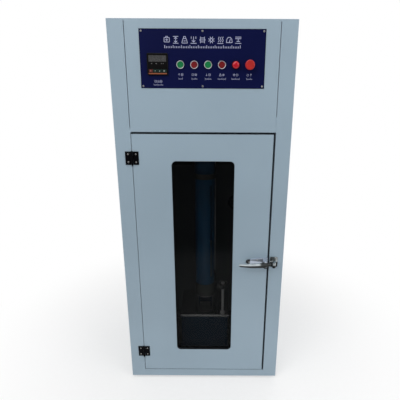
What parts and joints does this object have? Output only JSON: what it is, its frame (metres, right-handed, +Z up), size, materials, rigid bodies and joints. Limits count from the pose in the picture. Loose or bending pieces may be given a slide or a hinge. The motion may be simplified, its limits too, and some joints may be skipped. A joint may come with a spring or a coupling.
{
  "type": "battery impact tester",
  "caption": "Floor-standing cabinet that lifts a guided weight and drops it on a bar across a battery cell, behind a windowed door, with a control panel above.",
  "frame": {"origin": "on the floor under the middle of the whole outline", "axes": "+X to the right seen from the front, +Y from the front to the back, +Z up"},
  "size_m": [0.65, 0.684, 1.492],
  "materials": {
    "cabinet_paint": "satin powder coat",
    "chamber_paint": "satin powder coat",
    "navy_plate": "satin print",
    "black_metal": "satin coat",
    "black_plastic": "fine texture",
    "knob_plastic": "moulded",
    "red_plastic": "gloss",
    "red_lens": "gloss",
    "dark_red_plastic": "gloss",
    "green_plastic": "gloss",
    "display": "gloss",
    "chrome": "polished",
    "screw_steel": "bright",
    "ground_steel": "ground",
    "weight_steel": "turned",
    "anvil_paint": "painted",
    "tube_blue": "satin coat",
    "collar_grey": "satin coat",
    "aluminium": "anodised",
    "rubber": "matt",
    "smoked_glass": "polished"
  },
  "bodies": {
    "cabinet": {"front_frame": "cabinet_paint", "left_side_panel": "cabinet_paint", "right_side_panel": "cabinet_paint", "rear_panel": "cabinet_paint", "rear_service_cover": "cabinet_paint", "top_cover": "cabinet_paint", "base_pan": "cabinet_paint", "levelling_feet": "black_plastic", "chamber_liner": "chamber_paint", "hinge_frame_leaves": "black_metal", "latch_keeper": "chrome", "fascia_panel": "cabinet_paint", "control_plate": "navy_plate", "cabinet_screws": "screw_steel", "button_bezels": "chrome", "switch_bodies": "black_plastic", "switch_collars": "black_plastic", "lamp_lens": "red_lens", "counter_case": "black_plastic", "counter_display": "display", "anvil_base": "anvil_paint", "anvil_plate": "ground_steel", "bar_holder": "ground_steel", "impact_bar": "weight_steel", "clamp_post": "screw_steel", "guide_tube": "tube_blue", "tube_clamps": "collar_grey", "lift_column": "aluminium", "lift_belt": "rubber", "lift_motor": "black_metal", "fan_frame": "black_plastic", "exhaust_spigot": "screw_steel", "cable_port": "black_plastic", "power_inlet": "black_plastic", "control_gear": "screw_steel"},
    "door": {"door_pan": "cabinet_paint", "door_inner_panel": "cabinet_paint", "window_glass": "smoked_glass", "door_seals": "rubber", "hinge_door_leaves": "black_metal", "latch_base": "chrome", "door_screws": "screw_steel"},
    "latch_lever": {"latch_lever": "chrome"},
    "clamp_knob": {"clamp_knob": "knob_plastic"},
    "green_button_1": {"green_button_1": "green_plastic"},
    "red_button_1": {"red_button_1": "dark_red_plastic"},
    "green_button_2": {"green_button_2": "green_plastic"},
    "red_button_2": {"red_button_2": "dark_red_plastic"},
    "stop_stem": {"stop_stem": "red_plastic"},
    "stop_head": {"stop_head": "red_plastic"},
    "counter_key_1": {"counter_key_1": "dark_red_plastic"},
    "counter_key_2": {"counter_key_2": "green_plastic"},
    "counter_key_3": {"counter_key_3": "green_plastic"},
    "counter_key_4": {"counter_key_4": "green_plastic"},
    "lift": {"lift_carriage": "aluminium", "electromagnet": "weight_steel"},
    "drop_weight": {"drop_weight": "weight_steel"},
    "drive_pulley": {"drive_pulley": "aluminium"},
    "idler_pulley": {"idler_pulley": "aluminium"},
    "fan_rotor": {"fan_rotor": "black_plastic"}
  },
  "joints": [
    {"name": "door_hinge", "type": "hinge", "parent": "cabinet", "child": "door", "pos_m": [-0.26512, -0.304, 0.581], "axis": [0, 0, -1], "range_deg": [0, 165]},
    {"name": "latch_pivot", "type": "hinge", "parent": "door", "child": "latch_lever", "pos_m": [0.25, -0.326, 0.59], "axis": [0, 0, 1], "range_deg": [0, 50], "stiffness_Nm_per_rad": 0.8},
    {"name": "clamp_knob_turn", "type": "hinge", "parent": "cabinet", "child": "clamp_knob", "pos_m": [0.084, -0.163, 0.4], "axis": [0, 0, 1], "continuous": true},
    {"name": "green_button_1_press", "type": "slide", "parent": "cabinet", "child": "green_button_1", "axis": [0, 1, 0], "range_m": [0, 0.0035], "stiffness_N_per_m": 400},
    {"name": "red_button_1_press", "type": "slide", "parent": "cabinet", "child": "red_button_1", "axis": [0, 1, 0], "range_m": [0, 0.0035], "stiffness_N_per_m": 400},
    {"name": "green_button_2_press", "type": "slide", "parent": "cabinet", "child": "green_button_2", "axis": [0, 1, 0], "range_m": [0, 0.0035], "stiffness_N_per_m": 400},
    {"name": "red_button_2_press", "type": "slide", "parent": "cabinet", "child": "red_button_2", "axis": [0, 1, 0], "range_m": [0, 0.0035], "stiffness_N_per_m": 400},
    {"name": "stop_press", "type": "slide", "parent": "cabinet", "child": "stop_stem", "axis": [0, 1, 0], "range_m": [0, 0.005], "stiffness_N_per_m": 500},
    {"name": "stop_twist", "type": "hinge", "parent": "stop_stem", "child": "stop_head", "pos_m": [0.163, -0.32, 1.346], "axis": [0, 1, 0], "range_deg": [0, 45], "stiffness_Nm_per_rad": 0.15},
    {"name": "counter_key_1_press", "type": "slide", "parent": "cabinet", "child": "counter_key_1", "axis": [0, 1, 0], "range_m": [0, 0.0008], "stiffness_N_per_m": 500},
    {"name": "counter_key_2_press", "type": "slide", "parent": "cabinet", "child": "counter_key_2", "axis": [0, 1, 0], "range_m": [0, 0.0008], "stiffness_N_per_m": 500},
    {"name": "counter_key_3_press", "type": "slide", "parent": "cabinet", "child": "counter_key_3", "axis": [0, 1, 0], "range_m": [0, 0.0008], "stiffness_N_per_m": 500},
    {"name": "counter_key_4_press", "type": "slide", "parent": "cabinet", "child": "counter_key_4", "axis": [0, 1, 0], "range_m": [0, 0.0008], "stiffness_N_per_m": 500},
    {"name": "lift_travel", "type": "slide", "parent": "cabinet", "child": "lift", "axis": [0, 0, 1], "range_m": [0, 0.61]},
    {"name": "weight_travel", "type": "slide", "parent": "cabinet", "child": "drop_weight", "axis": [0, 0, 1], "range_m": [0, 0.61]},
    {"name": "drive_pulley_turn", "type": "hinge", "parent": "cabinet", "child": "drive_pulley", "pos_m": [0, 0.063, 1.264], "axis": [0, -1, 0], "range_deg": [0, 1500]},
    {"name": "idler_pulley_turn", "type": "hinge", "parent": "cabinet", "child": "idler_pulley", "pos_m": [0, 0.063, 0.486], "axis": [0, -1, 0], "range_deg": [0, 1500]},
    {"name": "fan_turn", "type": "hinge", "parent": "cabinet", "child": "fan_rotor", "pos_m": [-0.142, 0.155, 0.97], "axis": [0, 1, 0], "continuous": true}
  ],
  "couplings": [
    {"joint": "weight_travel", "follows": "lift_travel", "ratio": 1},
    {"joint": "drive_pulley_turn", "follows": "lift_travel", "rad_per_m": 42.553},
    {"joint": "idler_pulley_turn", "follows": "lift_travel", "rad_per_m": 42.553}
  ]
}
